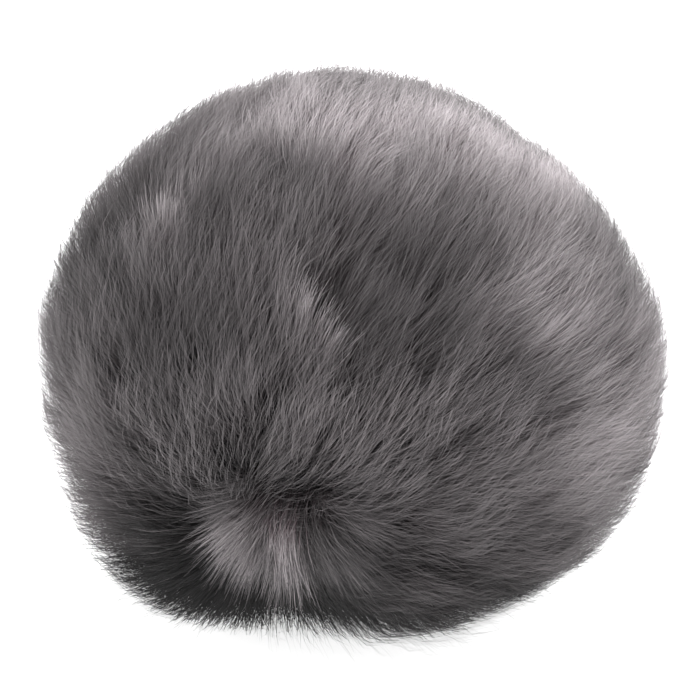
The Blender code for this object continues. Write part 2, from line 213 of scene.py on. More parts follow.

# Painted light and shade, where the nap is coloured darker or lighter as it catches the light: degrees
# from the crown, degrees round it, size in mm, tone.
NAP_LIGHT_AND_SHADE = (
    (68, 95, 10.0, -0.22), (62, 110, 10.0, -0.12), (70, 148, 13.0, -0.24), (46, 70, 10.0, -0.12),
    (60, 62, 12.0, -0.10), (86, 82, 18.0, 0.26), (84, 48, 16.0, 0.26), (92, 118, 13.0, 0.15),
    (80, 8, 14.0, 0.12), (62, 124, 5.0, 0.30), (30, -24, 11.0, -0.16), (32, -158, 9.0, -0.18),
    (56, -150, 9.0, 0.20), (61, -27, 10.0, -0.12), (48, 172, 12.0, 0.06), (84, 24, 7.0, -0.16),
    (74, 116, 8.0, 0.12), (78, 88, 9.0, 0.10), (40, 45, 14.0, -0.10), (30, 112, 11.0, 0.06),
    (46, 159, 10.0, 0.03), (69, 15, 14.0, 0.14), (101, 95, 12.0, 0.14),
    (36, -130, 15.0, -0.36), (80, 95, 10.0, 0.2), (60, 176, 14.0, 0.2), (72, 8, 16.0, 0.1),
)
# Where the pile's outline is fuller or flatter than it was cut: degrees from the crown, degrees
# round it, size and change, both in mm.
OUTLINE = (
    (119, 50, 30.0, -4.0), (60, -73, 24.0, -11.0), (71, -44, 20.0, -5.5), (110, 0, 18.0, 1.5),
    (53, -103, 18.0, -4.5), (82, -150, 20.0, -2.5),
)
TIP_TURN = PILE_LIE / (BACKING_R + 9.0 * MM)  # from a hair's root to its tip, about the centre


def unit(vectors):
    return vectors / np.linalg.norm(vectors, axis=-1, keepdims=True)


def smooth(value, low, high):
    t = np.clip((value - low) / (high - low), 0.0, 1.0)
    return t * t * (3 - 2 * t)


class Noise:
    """Smooth noise over the directions of a sphere: a sum of plane waves with seeded directions."""

    def __init__(self, scale, waves=14):
        self.k = RANDOM.normal(size=(waves, 3)) * scale
        self.phase = RANDOM.uniform(0, 2 * math.pi, waves)
        self.gain = math.sqrt(2.0 / waves)

    def __call__(self, directions):
        return self.gain * np.sin(directions @ self.k.T + self.phase).sum(axis=1)


SWIRL = Noise(2.2)
WAVE = Noise(9.0)
RIPPLE = Noise(26.0)


def on_ball(from_crown, round_axis):
    """The direction at those angles, in degrees."""
    p, a = np.radians(from_crown), np.radians(round_axis)
    return np.stack([np.sin(p) * np.cos(a), -np.cos(p), np.sin(p) * np.sin(a)], axis=-1)


def pile_radius(directions):
    """How far the pile's tips are from the ball's centre, in each direction."""
    z = directions[:, 2]
    level = np.sqrt(np.maximum(1 - z * z, 1e-9))
    up = 1 / np.sqrt((level / PILE_R) ** 2 + (z / PILE_R_UP) ** 2)
    power = LOWER_FULLNESS
    down = ((level / PILE_R) ** power + (np.abs(z) / PILE_R_DOWN) ** power) ** (-1 / power)
    down = np.minimum(down, CENTRE[2] / np.maximum(-z, 1e-6))
    radius = np.where(z > 0, up, down)
    for from_crown, round_axis, size, change in OUTLINE:
        distance = np.linalg.norm(directions - on_ball(from_crown, round_axis), axis=1) * PILE_R
        radius += change * MM * np.exp(-(distance / (size * MM)) ** 2)
    return radius


def polar(directions):
    """The angle from the crown, in degrees."""
    return np.degrees(np.arccos(np.clip(directions @ CROWN, -1, 1)))


def around(directions):
    """The angle round the microphone's axis, in degrees from +X towards +Z."""
    return np.degrees(np.arctan2(directions[:, 2], directions[:, 0]))


def away_from_whorl(directions):
    """The unit tangents that lead away from the whorl."""
    whorl = on_ball(*WHORL)
    return unit(-(whorl - directions * (directions @ whorl)[:, None]) + 1e-9)


def from_whorl(directions):
    """The angle from the whorl, in degrees."""
    return np.degrees(np.arccos(np.clip(directions @ on_ball(*WHORL), -1, 1)))


def lay_of(directions):
    """The way the pile lies: away from the whorl, and drawn upwards."""
    rise = np.array([0.0, 0.0, 1.0]) - directions * directions[:, 2:3]
    gain = LAY_UP_LEFT + (LAY_UP_RIGHT - LAY_UP_LEFT) * smooth(directions[:, 0], -0.3, 0.3)
    gain *= 1 - smooth(polar(directions), *LAY_UP_UNTIL)
    return unit(away_from_whorl(directions) + gain[:, None] * rise)


def tips_of(roots):
    """The directions of the tips of the hairs that grow at those roots."""
    return unit(math.cos(TIP_TURN) * roots + math.sin(TIP_TURN) * lay_of(roots))


def nearest(points, centres):
    """The index of the centre nearest to each point."""
    found = [np.argmax(part @ centres.T, axis=1) for part in np.array_split(points, 40)]
    return np.concatenate(found)


def scattered(spacing, radius):
    """Directions spread evenly over the ball with a little disorder, off the neck's opening."""
    count = int(4 * math.pi * radius * radius / (spacing * spacing))
    i = np.arange(count) + 0.5
    y = 1 - 2 * i / count
    turn = math.pi * (1 + math.sqrt(5)) * i
    ring = np.sqrt(1 - y * y)
    points = np.stack([ring * np.cos(turn), y, ring * np.sin(turn)], axis=1)
    points = unit(points + RANDOM.normal(size=points.shape) * 0.45 * spacing / radius)
    return points[polar(points) < NECK_EDGE]


def new_material(name, colour, roughness, metallic=0.0):
    material = bpy.data.materials.new(name)
    material.use_nodes = True
    shader = material.node_tree.nodes["Principled BSDF"]
    shader.inputs["Base Color"].default_value = (*colour, 1.0)
    shader.inputs["Roughness"].default_value = roughness
    shader.inputs["Metallic"].default_value = metallic
    return material


def colour_ramp(tree, stops):
    """A ramp through (position, colour) stops, the first at 0 and the last at 1."""
    ramp = tree.nodes.new("ShaderNodeValToRGB")
    for position, _ in stops[1:-1]:
        ramp.color_ramp.elements.new(position)
    for element, (_, colour) in zip(ramp.color_ramp.elements, stops):
        element.color = (*colour, 1)
    return ramp


def fur_material():
    """Colour along each hair, and from hair to hair, both read from the strand's own map."""
    material = new_material("fur_hair", (0.2, 0.19, 0.195), 0.55)
    tree = material.node_tree
    shader = tree.nodes["Principled BSDF"]
    shader.inputs["Specular IOR Level"].default_value = 0.14
    shader.inputs["Sheen Weight"].default_value = 0.06
    shader.inputs["Sheen Roughness"].default_value = 0.45
    place = tree.nodes.new("ShaderNodeUVMap")
    place.uv_map = "OFBake"
    split = tree.nodes.new("ShaderNodeSeparateXYZ")
    along = colour_ramp(tree, HAIR_COLOURS)
    tone = tree.nodes.new("ShaderNodeMath")
    tone.operation = "POWER"
    tone.inputs[1].default_value = 1.75
    gain = tree.nodes.new("ShaderNodeMath")
    gain.operation = "MULTIPLY_ADD"
    gain.inputs[1].default_value = 2.75
    gain.inputs[2].default_value = 0.05
    shade = tree.nodes.new("ShaderNodeVectorMath")
    shade.operation = "SCALE"
    link = tree.links.new
    link(place.outputs["UV"], split.inputs[0])
    link(split.outputs["Y"], along.inputs["Fac"])
    link(split.outputs["X"], tone.inputs[0])
    link(tone.outputs[0], gain.inputs[0])
    link(along.outputs["Color"], shade.inputs[0])
    link(gain.outputs[0], shade.inputs["Scale"])
    link(shade.outputs["Vector"], shader.inputs["Base Color"])
    return material


def strand_mesh(name, paths, widths, across, tone, depth, material):
    """Flat tapering strands as one mesh. paths is (n, rings, 3), across the ribbons' unit sides.
    The hairs stay dark further out where depth, a power, is larger."""
    count, rings, _ = paths.shape
    taper = 1 - STRAND_TAPER * np.linspace(0, 1, rings) ** 2
    half = across * (widths[:, None] * taper / 2)[:, :, None]
    verts = np.stack([paths - half, paths + half], axis=2).reshape(-1, 3)
    ring = np.arange(rings - 1)
    quad = np.stack([2 * ring, 2 * ring + 1, 2 * ring + 3, 2 * ring + 2], axis=1)
    faces = (np.arange(count) * 2 * rings)[:, None, None] + quad
    faces = faces.reshape(-1, 4)
    mesh = bpy.data.meshes.new(name)
    mesh.vertices.add(len(verts))
    mesh.vertices.foreach_set("co", verts.astype(np.float32).ravel())
    mesh.loops.add(faces.size)
    mesh.loops.foreach_set("vertex_index", faces.astype(np.int32).ravel())
    mesh.polygons.add(len(faces))
    mesh.polygons.foreach_set("loop_start", np.arange(0, faces.size, 4, dtype=np.int32))
    mesh.polygons.foreach_set("loop_total", np.full(len(faces), 4, dtype=np.int32))
    mesh.update(calc_edges=True)
    # Across the map is the strand's tone, with a little width to it, and up it the place along it.
    uv = mesh.uv_layers.new(name="OFBake")
    u = np.repeat(tone, 2 * rings).reshape(count, rings, 2)
    u = u * 0.99 + np.array([0.0, 0.004])
    v = np.linspace(0.002, 0.998, rings)[None, :, None] ** depth[:, None, None]
    v = np.broadcast_to(v, u.shape)
    place = np.stack([u, v], axis=-1).reshape(-1, 2)[faces.ravel()]
    uv.data.foreach_set("uv", place.astype(np.float32).ravel())
    mesh.polygons.foreach_set("use_smooth", np.ones(len(faces), dtype=bool))
    mesh.materials.append(material)
    obj = bpy.data.objects.new(name, mesh)
    bpy.context.scene.collection.objects.link(obj)
    return obj


def all_ruffles():
    """The chosen ruffles and some more all round, as (centre, half width, strength, slope)."""
    more = np.stack([
        RANDOM.uniform(95, 142, MORE_RUFFLES), RANDOM.uniform(-180, 180, MORE_RUFFLES),
        RANDOM.uniform(3.5, 6.5, MORE_RUFFLES), RANDOM.uniform(0.2, 0.45, MORE_RUFFLES),
        RANDOM.uniform(-0.6, 0.6, MORE_RUFFLES),
    ], axis=1)
    rows = np.concatenate([np.array(RUFFLES), more])
    return [(on_ball(row[0], row[1]), row[2] * MM, row[3], row[4]) for row in rows]


def ruffled(tips, ruffles):
    """How far each tip is part of a ruffle's raised fringe, and of the hollow beyond it."""
    raised, hollow = np.zeros(len(tips)), np.zeros(len(tips))
    for centre, width, strength, slope in ruffles:
        lay = lay_of(centre[None])[0]
        side = np.cross(centre, lay)
        offset = (tips - centre) * PILE_R
        across = offset @ side
        along = offset @ lay + slope * across + 1.5 * MM * WAVE(tips) + 0.5 * MM * RIPPLE(tips)
        band = np.exp(-(across / width) ** 4) * (tips @ centre > 0.8) * strength
        raised = np.maximum(raised, band * np.exp(-((along + FRINGE_BACK) / (2.3 * MM)) ** 2))
        gap = smooth(along, 0.5 * MM, 3 * MM) * (1 - smooth(along, 1.2 * width, 2.2 * width))
        hollow = np.maximum(hollow, band * gap)
    return raised, hollow


def grow(roots, swirl, height, lie, lift):
    """Paths of strands that rise from their roots and lie over, the way the pile lies. Each turns
    from that way by its swirl, and rises sooner and lies over later the more its lift."""
    lay = lay_of(roots)
    side = np.cross(roots, lay)
    lay = unit(lay * np.cos(swirl)[:, None] + side * np.sin(swirl)[:, None])
    s = np.linspace(0, 1, STRAND_RINGS)
    rise = 1 - (1 - s) ** (1.7 + lift[:, None])
    run = s[None, :] ** (1.0 + 0.5 * lift[:, None])
    radius = BACKING_R + height[:, None] * rise
    angle = lie[:, None] * run / (BACKING_R + 0.6 * height[:, None])
    path = np.cos(angle)[..., None] * roots[:, None] + np.sin(angle)[..., None] * lay[:, None]
    return CENTRE + radius[..., None] * path


def held_in(paths, spare):
    """The same paths, drawn back to where the pile's outline and each strand's spare end."""
    offset = paths - CENTRE
    radius = np.linalg.norm(offset, axis=-1, keepdims=True)
    away = offset / radius
    limit = pile_radius(away.reshape(-1, 3)).reshape(radius.shape) + spare[:, None, None]
    return CENTRE + away * (radius - HELD_BACK * np.maximum(radius - limit, 0.0))


def painted_nap_light(roots):
    """How much darker or lighter the nap's patches of painted light and shade make each root."""
    tone = np.zeros(len(roots))
    for from_crown, round_axis, size, change in NAP_LIGHT_AND_SHADE:
        offset = (roots - on_ball(from_crown, round_axis)) * BACKING_R
        distance = np.linalg.norm(offset, axis=1) * (1 + 0.25 * WAVE(roots) + 0.1 * RIPPLE(roots))
        tone += change * np.exp(-(distance / (size * MM)) ** 2)
    return tone


def painted_underside_shade(tips):
    """How much darker the pile is painted at those tips for being underneath: painted shade."""
    return UNDERSIDE_SHADE * smooth(-tips[:, 2], *UNDERSIDE_SHADE_FROM)


def main_pile(ruffles):
    """The pile of the gores: (roots, paths, tone, widths, depth)."""
    clumps = scattered(CLUMP_SPACING, BACKING_R)
    locks = scattered(LOCK_SPACING, BACKING_R)
    lock = nearest(clumps, locks)
    of = np.repeat(np.arange(len(clumps)), STRANDS_PER_CLUMP)
    spread = STRAND_SPREAD * CLUMP_SPACING / BACKING_R
    roots = unit(clumps[of] + RANDOM.normal(size=(len(of), 3)) * spread)
    growth = growth_of(clumps, lock, len(locks), ruffles)
    found = strands_of(roots, of, growth)
    keep = polar(roots) < NECK_EDGE
    return tuple(part[keep] for part in found)


def growth_of(clumps, lock, locks, ruffles):
    """How each clump grows, by name."""
    number = len(clumps)
    tips = tips_of(clumps)
    raised, hollow = ruffled(tips, ruffles)
    whorl = 1 - smooth(from_whorl(clumps), *WHORL_EDGE)
    from_tuft = ((tips - on_ball(*UNDER_TUFT)) ** 2).sum(axis=1)
    under_tuft = np.exp(-from_tuft / UNDER_TUFT_SIZE ** 2)

    swirl = TURN["slow"] * SWIRL(clumps) + TURN["place"] * WAVE(clumps)
    swirl += TURN["clump"] * RANDOM.normal(size=number)
    swirl += (TURN["lock"] * RANDOM.normal(size=locks))[lock]

    height = HEIGHT["full"] * (pile_radius(tips) - BACKING_R)
    height *= 1 + HEIGHT["clump"] * RANDOM.normal(size=number)
    height *= 1 + HEIGHT["place"] * WAVE(clumps) + (HEIGHT["lock"] * RANDOM.normal(size=locks))[lock]
    height *= 1 + HEIGHT["whorl"] * whorl
    height *= 1 + HEIGHT["raised"] * raised + HEIGHT["hollow"] * hollow
    height *= 1 + HEIGHT["under_tuft"] * under_tuft
    height = np.maximum(height, LEAST_HEIGHT)

    lift = LIFT["clump"] * RANDOM.normal(size=number) + (LIFT["lock"] * RANDOM.normal(size=locks))[lock]
    lift = np.clip((lift + LIFT["raised"] * raised) * (1 + LIFT["whorl"] * whorl), -0.65, 0.6)

    tone = TONE["middle"] + TONE["clump"] * RANDOM.normal(size=number)
    # The nap's patches add painted light and shade.
    tone += TONE["place"] * WAVE(clumps) + painted_nap_light(tips)
    tone += (TONE["lock"] * RANDOM.normal(size=locks))[lock]
    # Painted highlight on the raised fringes; painted shade in the hollows, under the tuft and at the
    # whorl.
    tone += TONE["raised"] * raised + TONE["hollow"] * hollow
    tone += TONE["under_tuft"] * under_tuft + TONE["whorl"] * whorl
    # Painted shade underneath.
    tone -= painted_underside_shade(tips)
    lie = PILE_LIE * (1 + LIE["hollow"] * hollow)
    return {
        "roots": clumps, "tips": tips, "swirl": swirl, "height": height, "lie": lie, "lift": lift,
        "tone": tone, "raised": raised, "whorl": whorl,
    }


def strands_of(roots, of, growth):
    """The strands of the clumps that they are of: (roots, paths, tone, widths, depth)."""
    count = len(roots)
    clump = [growth[name] for name in ("roots", "swirl", "height", "lie", "lift")]
    centre_paths = grow(*clump)
    whorl = growth["whorl"][of]
    even = 1 - RAISED_EVEN * growth["raised"][of]

    under = RANDOM.random(count) < UNDERCOAT_SHARE
    share = np.clip(1 + HEIGHT["strand"] * RANDOM.normal(size=count), 0.7, 1.2)
    share[under] *= RANDOM.uniform(*UNDERCOAT_HEIGHT, under.sum())
    reach = np.clip(1 + LIE["strand"] * even * RANDOM.normal(size=count), 0.6, 1.35)
    reach[under] *= UNDERCOAT_LIE
    even *= 1 - COMBED["turn"] * whorl
    turn = growth["swirl"][of] + TURN["strand"] * even * RANDOM.normal(size=count)
    height, lie, lift = (growth[name][of] for name in ("height", "lie", "lift"))
    paths = grow(roots, turn, height * share, lie * reach, lift)

    # The tips of a clump draw together, a few stray, and all fade out round the outline.
    s = np.linspace(0, 1, STRAND_RINGS)
    pull = RANDOM.uniform(0.0, CLUMP_PULL, count)[:, None] * s ** 1.5
    paths += (centre_paths[of] - paths) * pull[..., None]
    bend = np.where(RANDOM.random(count) < STRAY_SHARE, STRAY_BEND, USUAL_BEND)
    bend *= 1 - COMBED["bend"] * whorl
    paths += RANDOM.normal(size=(count, 1, 3)) * (MM * bend[:, None] * s ** 2)[..., None]
    spare = np.minimum(RANDOM.exponential(FADE_OUT, count) - FADE_IN, GUARD_REACH)
    spare *= 1 - UNDERSIDE_SPARE * smooth(-growth["tips"][of, 2], *UNDERSIDE_SPARE_FROM)
    guard = spare > GUARD_FROM
    outward = unit(paths[:, -1] - CENTRE)
    paths += (spare[:, None] * s ** 2)[..., None] * outward[:, None]
    paths = held_in(paths, spare)

    tone = growth["tone"][of] + TONE["strand"] * RANDOM.normal(size=count)
    tone[under] += TONE["undercoat"]
    tone[guard] += TONE["guard"]
    depth = 1 - COMBED["depth"] * whorl
    widths = STRAND_WIDTH * RANDOM.uniform(0.65, 1.25, count) * np.where(guard, GUARD_WIDTH, 1.0)
    return roots, paths, tone, widths, depth


def fringes(ruffles):
    """Hairs along the edges of the ruffles, standing over the hollows, made light as painted highlight:
    as main_pile gives it.
    """
    parts = []
    for centre, width, strength, slope in ruffles:
        count = int(FRINGE_STRANDS * strength * width / MM)
        lay = lay_of(centre[None])[0]
        side = np.cross(centre, lay)
        across = RANDOM.uniform(-1, 1, count) * width
        ragged = 1.4 * MM * RANDOM.normal(size=count) - FRINGE_BACK
        line = centre + (across[:, None] * side + (ragged - slope * across)[:, None] * lay) / PILE_R
        tips = unit(line)
        ragged = 1.3 * MM * WAVE(tips) + 0.8 * MM * RIPPLE(tips)
        tips = unit(tips - ragged[:, None] * lay / PILE_R)
        roots = unit(math.cos(TIP_TURN) * tips - math.sin(TIP_TURN) * lay_of(tips))
        height = FRINGE_HEIGHT + FRINGE_VARIES["height"] * RANDOM.normal(size=count)
        height *= pile_radius(tips) - BACKING_R
        swirl = TURN["slow"] * SWIRL(roots) + FRINGE_VARIES["turn"] * RANDOM.normal(size=count)
        lie = PILE_LIE * (1 + FRINGE_VARIES["lie"] * RANDOM.normal(size=count))
        paths = grow(roots, swirl, height, lie, np.full(count, FRINGE_LIFT))
        paths = held_in(paths, np.full(count, FRINGE_SPARE))
        # Painted highlight that grows with the ruffle's strength, the nap's painted light and shade,
        # and painted shade underneath.
        tone = 0.5 + 0.5 * strength ** 3 + painted_nap_light(tips)
        tone += FRINGE_VARIES["tone"] * RANDOM.normal(size=count) - painted_underside_shade(tips)
        widths = STRAND_WIDTH * RANDOM.uniform(0.7, 1.2, count)
        parts.append((roots, paths, tone, widths, np.full(count, FRINGE_DEPTH)))
    return tuple(np.concatenate(part) for part in zip(*parts))


def tuft():
    """The crown patch's fur, which stands out and falls in fans, as main_pile gives it."""
    fans = [fan(*row) for row in TUFT_FANS]
    return tuple(np.concatenate(part) for part in zip(*fans))


def fan(count, turn, spread, out, length, tone, depth):
    """One fan of the tuft, in locks of about TUFT_LOCK strands. TUFT_FANS says what each value is."""
    by_lock, by_strand = TUFT_LOCKS_VARY, TUFT_STRANDS_VARY
    locks = count // TUFT_LOCK
    of = RANDOM.integers(0, locks, count)
    lock_turn = turn + spread * RANDOM.normal(size=locks)
    fanned_out = [np.sin(lock_turn), 0.3 - 0.3 * np.cos(lock_turn)]
    lock_root = by_lock["root"] * RANDOM.normal(size=(2, locks)) + fanned_out
    edge = math.sin(math.radians(TUFT_EDGE)) * np.clip(lock_root, -1, 1)
    middle = on_ball(*TUFT_MIDDLE) + np.stack([edge[0], np.zeros(locks), edge[1]], axis=1)
    roots = unit(middle[of] + RANDOM.normal(size=(count, 3)) * by_strand["root"])
    angle = lock_turn[of] + by_strand["turn"] * RANDOM.normal(size=count)
    lock_out = out * (1 + by_lock["out"] * RANDOM.normal(size=locks))
    stand = MM * lock_out[of] * (1 + by_strand["out"] * RANDOM.normal(size=count))
    lock_length = length * (1 + by_lock["length"] * RANDOM.normal(size=locks))
    share = np.clip(1 + by_strand["length"] * RANDOM.normal(size=count), 0.55, 1.2)
    size = MM * lock_length[of] * share
    s = np.linspace(0, 1, STRAND_RINGS)[None, :]
    fall = np.sqrt(np.maximum(size ** 2 - stand ** 2, 1e-6))[:, None]
    way = np.stack([np.sin(angle), np.zeros(count), -np.cos(angle)], axis=1)
    paths = (CENTRE + BACKING_R * roots)[:, None] + (fall * s ** 1.5)[..., None] * way[:, None]
    paths += (stand[:, None] * (1 - (1 - s) ** 2.2))[..., None] * CROWN
    paths += RANDOM.normal(size=(count, 1, 3)) * (TUFT_BEND * s ** 2)[..., None]
    strand_tone = tone + (by_lock["tone"] * RANDOM.normal(size=locks))[of]
    strand_tone += by_strand["tone"] * RANDOM.normal(size=count)
    widths = STRAND_WIDTH * RANDOM.uniform(0.65, 1.15, count)
    return roots, paths, strand_tone, widths, np.full(count, depth)


def sides_of(paths, roll):
    """Each ribbon's side, across its own run and the outward direction, rolled a little."""
    run = unit(np.gradient(paths, axis=1) + 1e-12)
    outward = unit(paths - CENTRE)
    side = unit(np.cross(run, outward) + 1e-9)
    third = np.cross(side, run)
    return side * np.cos(roll)[:, None, None] + third * np.sin(roll)[:, None, None]


def fur():
    """The pile as pieces, by gore and by band, with the crown patch's own tuft."""
    material = fur_material()
    ruffles = all_ruffles()
    pile = tuple(np.concatenate(part) for part in zip(main_pile(ruffles), fringes(ruffles)))
    crown = tuft()
    for group, (roots, paths, tone, widths, depth) in (("gore", pile), ("crown", crown)):
        paths[:, :, 2] = np.maximum(paths[:, :, 2], OFF_FLOOR)
        across = sides_of(paths, RANDOM.normal(size=len(roots)) * STRAND_ROLL)
        tone = np.clip(tone, 0.0, 1.0)
        for name, node, pick in pieces_of(group, roots):
            part = paths[pick], widths[pick], across[pick], tone[pick], depth[pick]
            obj = strand_mesh(name, *part, material)
            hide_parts(node)
            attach(obj, "windscreen")


def pieces_of(group, roots):
    """(piece, node it stands for, which strands) for each piece of fur."""
    if group == "crown":
        return [("fur_tuft_crown", "fur_crown_patch", np.ones(len(roots), dtype=bool))]
    quarter = ((around(roots) + 45) // 90).astype(int) % 4
    from_crown = polar(roots)
    found = []
    for number, place in enumerate(PLACES):
        for low, high, band in zip(BANDS, BANDS[1:], ("front", "middle", "rear")):
            inner = -1.0 if low == BANDS[0] else low
            pick = (quarter == number) & (from_crown >= inner) & (from_crown < high)
            found.append((f"fur_pile_{place}_{band}", f"fur_gore_{place}", pick))
    return found


def grid_mesh(name, points, material):
    """A (rows, columns, 3) grid of points as a smooth mesh that faces away from the centre."""
    rows, columns, _ = points.shape
    at = np.arange(rows * columns).reshape(rows, columns)
    quads = np.stack([at[:-1, :-1], at[1:, :-1], at[1:, 1:], at[:-1, 1:]], axis=-1).reshape(-1, 4)
    mesh = bpy.data.meshes.new(name)
    mesh.from_pydata(points.reshape(-1, 3).tolist(), [], quads.tolist())
    bm = bmesh.new()
    bm.from_mesh(mesh)
    bmesh.ops.remove_doubles(bm, verts=bm.verts, dist=0.01 * MM)
    bmesh.ops.recalc_face_normals(bm, faces=bm.faces)
    face = next(iter(bm.faces))
    if face.normal.dot(face.calc_center_median() - Vector(CENTRE)) < 0:
        bmesh.ops.reverse_faces(bm, faces=bm.faces)
    bm.to_mesh(mesh)
    bm.free()
    mesh.materials.append(material)
    mesh.shade_smooth()
    obj = bpy.data.objects.new(name, mesh)
    bpy.context.scene.collection.objects.link(obj)
    return obj


def backing():
    """The knitted backing of the four gores under the pile, drawn in along its seams."""
    material = knitted("fur_backing_knit", (0.006, 0.0055, 0.006), (0.02, 0.018, 0.019), 0.9)
    polar_angles = np.linspace(0.5, NECK_EDGE, 76)
    eased = np.linspace(-1, 1, 33)
    eased = np.sign(eased) * (1 - (1 - np.abs(eased)) ** 1.6)
    for number, place in enumerate(PLACES):
        turns = 90.0 * number + 44.9 * eased
        p, t = np.meshgrid(polar_angles, turns, indexing="ij")
        from_seam = np.radians(45.0 - np.abs(t - 90.0 * number)) * np.sin(np.radians(p)) * BACKING_R
        drawn_in = SEAM_PULL * np.exp(-(from_seam / SEAM_WIDTH) ** 2)
        pucker = PUCKER * np.sin(np.radians(p) * BACKING_R / PUCKER_RUN)
        radius = BACKING_R - 0.1 * MM - drawn_in + pucker * np.exp(-(from_seam / PUCKER_WIDTH) ** 2)
        obj = grid_mesh(f"fur_backing_{place}", CENTRE + radius[..., None] * on_ball(p, t), material)
        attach(obj, "windscreen")


class Look:
    """A material made of nodes, with short ways to add them."""

    def __init__(self, name, metallic=0.0):
        self.material = new_material(name, (0.5, 0.5, 0.5), 0.5, metallic)
        self.tree = self.material.node_tree
        self.shader = self.tree.nodes["Principled BSDF"]
        self.place = self.tree.nodes.new("ShaderNodeTexCoord").outputs["Object"]

    def feed(self, value, socket):
        """Links a socket's value to another, or sets a number."""
        if isinstance(value, bpy.types.NodeSocket):
            self.tree.links.new(value, socket)
        else:
            socket.default_value = value

    def math(self, operation, *values):
        node = self.tree.nodes.new("ShaderNodeMath")
        node.operation = operation
        for value, socket in zip(values, node.inputs):
            self.feed(value, socket)
        return node.outputs[0]

    def noise(self, size, detail=3.0):
        """Noise from 0 to 1 whose grains are about that many metres across."""
        node = self.tree.nodes.new("ShaderNodeTexNoise")
        self.feed(self.place, node.inputs["Vector"])
        node.inputs["Scale"].default_value = 1.0 / size
        node.inputs["Detail"].default_value = detail
        return node.outputs[0]

    def cells(self, size):
        """The distance from the middle of the nearest cell, of cells about that size across."""
        node = self.tree.nodes.new("ShaderNodeTexVoronoi")
        self.feed(self.place, node.inputs["Vector"])
        node.inputs["Scale"].default_value = 1.0 / size
        return node.outputs["Distance"]

    def round_axis(self):
        """(angle round the microphone's axis, distance from it, place along it)."""
        split = self.tree.nodes.new("ShaderNodeSeparateXYZ")
        self.feed(self.place, split.inputs[0])
        x, y, z = split.outputs
        z = self.math("SUBTRACT", z, float(CENTRE[2]))
        square = self.math("MULTIPLY_ADD", x, x, self.math("MULTIPLY", z, z))
        return self.math("ARCTAN2", z, x), self.math("SQRT", square), y

    def ripple(self, value, pitch):
        """A wave from 0 to 1 along a value, with that pitch."""
        wave = self.math("SINE", self.math("MULTIPLY", value, 2 * math.pi / pitch))
        return self.math("MULTIPLY_ADD", wave, 0.5, 0.5)

    def spread(self, value, low, high, to_low=0.0, to_high=1.0):
        """The value with low to high made to_low to to_high, and held there past them."""
        node = self.tree.nodes.new("ShaderNodeMapRange")
        for socket, given in zip(node.inputs, (value, low, high, to_low, to_high)):
            self.feed(given, socket)
        return node.outputs[0]

    def colour(self, value, low, high, *between):
        """Colours the surface by a value from 0 to 1. Each of between is a (position, colour)."""
        ramp = colour_ramp(self.tree, ((0.0, low), *between, (1.0, high)))
        self.feed(value, ramp.inputs["Fac"])
        self.feed(ramp.outputs["Color"], self.shader.inputs["Base Color"])

    def rough(self, value, low, high):
        self.feed(self.spread(value, 0.0, 1.0, low, high), self.shader.inputs["Roughness"])

    def bump(self, value, depth, strength=0.6):
        node = self.tree.nodes.new("ShaderNodeBump")
        node.inputs["Strength"].default_value = strength
        node.inputs["Distance"].default_value = depth
        self.feed(value, node.inputs["Height"])
        self.feed(node.outputs[0], self.shader.inputs["Normal"])


def moulded(name, dark, light, roughness, grain=0.35 * MM):
    """Moulded plastic or rubber: a fine spark-eroded grain and a slow change of shade."""
    look = Look(name)
    fine, slow = look.noise(grain), look.noise(9.0 * MM, 4.0)
    look.colour(look.spread(slow, 0.3, 0.7), dark, light)
    look.rough(fine, roughness - 0.06, roughness + 0.08)
    look.bump(fine, 0.04 * MM)
    look.shader.inputs["Specular IOR Level"].default_value = 0.25
    return look.material


def gripped(name, dark, light, worn):
    """The clamp ring's plastic: moulded, with its grip rubbed brighter and smoother."""
    look = Look(name)
    fine, slow = look.noise(0.3 * MM), look.noise(5.0 * MM, 5.0)
    _, distance, _ = look.round_axis()
    ridge = look.spread(distance, *GRIP_RIDGES)
    rubbed = look.math("MULTIPLY", ridge, look.spread(slow, 0.45, 0.65))
    mixed = look.math("MULTIPLY_ADD", rubbed, 0.65, look.math("MULTIPLY", slow, 0.5))
    look.colour(mixed, dark, worn, (0.35, light))
    look.rough(rubbed, 0.5, 0.34)
    look.bump(fine, 0.035 * MM)
    look.shader.inputs["Specular IOR Level"].default_value = 0.25
    return look.material


def knitted(name, dark, light, roughness, pitch=0.7 * MM):
    """A fine knit: rows of loops round the axis."""
    look = Look(name)
    turn, _, along = look.round_axis()
    rows = look.ripple(along, pitch)
    columns = look.ripple(look.math("MULTIPLY", turn, KNIT_R), pitch)
    loops = look.math("MULTIPLY", rows, columns)
    fuzz = look.math("MULTIPLY_ADD", look.noise(0.4 * MM), 0.5, loops)
    look.colour(fuzz, dark, light)
    look.rough(loops, roughness, roughness - 0.1)
    look.bump(loops, 0.12 * MM)
    return look.material


def woven(name, dark, light, roughness, pitch=0.5 * MM):
    """An open plain weave of two sets of threads, one over the other by turns."""
    look = Look(name)
    turn, distance, along = look.round_axis()
    across = look.math("MULTIPLY", turn, distance)
    warp, weft = look.ripple(across, pitch), look.ripple(along, pitch)
    over = look.ripple(look.math("ADD", across, along), 2 * pitch)
    threads = look.math("MAXIMUM", look.math("MULTIPLY", warp, over), weft)
    shade = look.math("MULTIPLY_ADD", look.noise(0.8 * MM), 0.35, threads)
    look.colour(look.spread(shade, 0.2, 1.3), dark, light)
    look.rough(threads, roughness + 0.05, roughness - 0.08)
    look.bump(threads, 0.1 * MM)
    return look.material


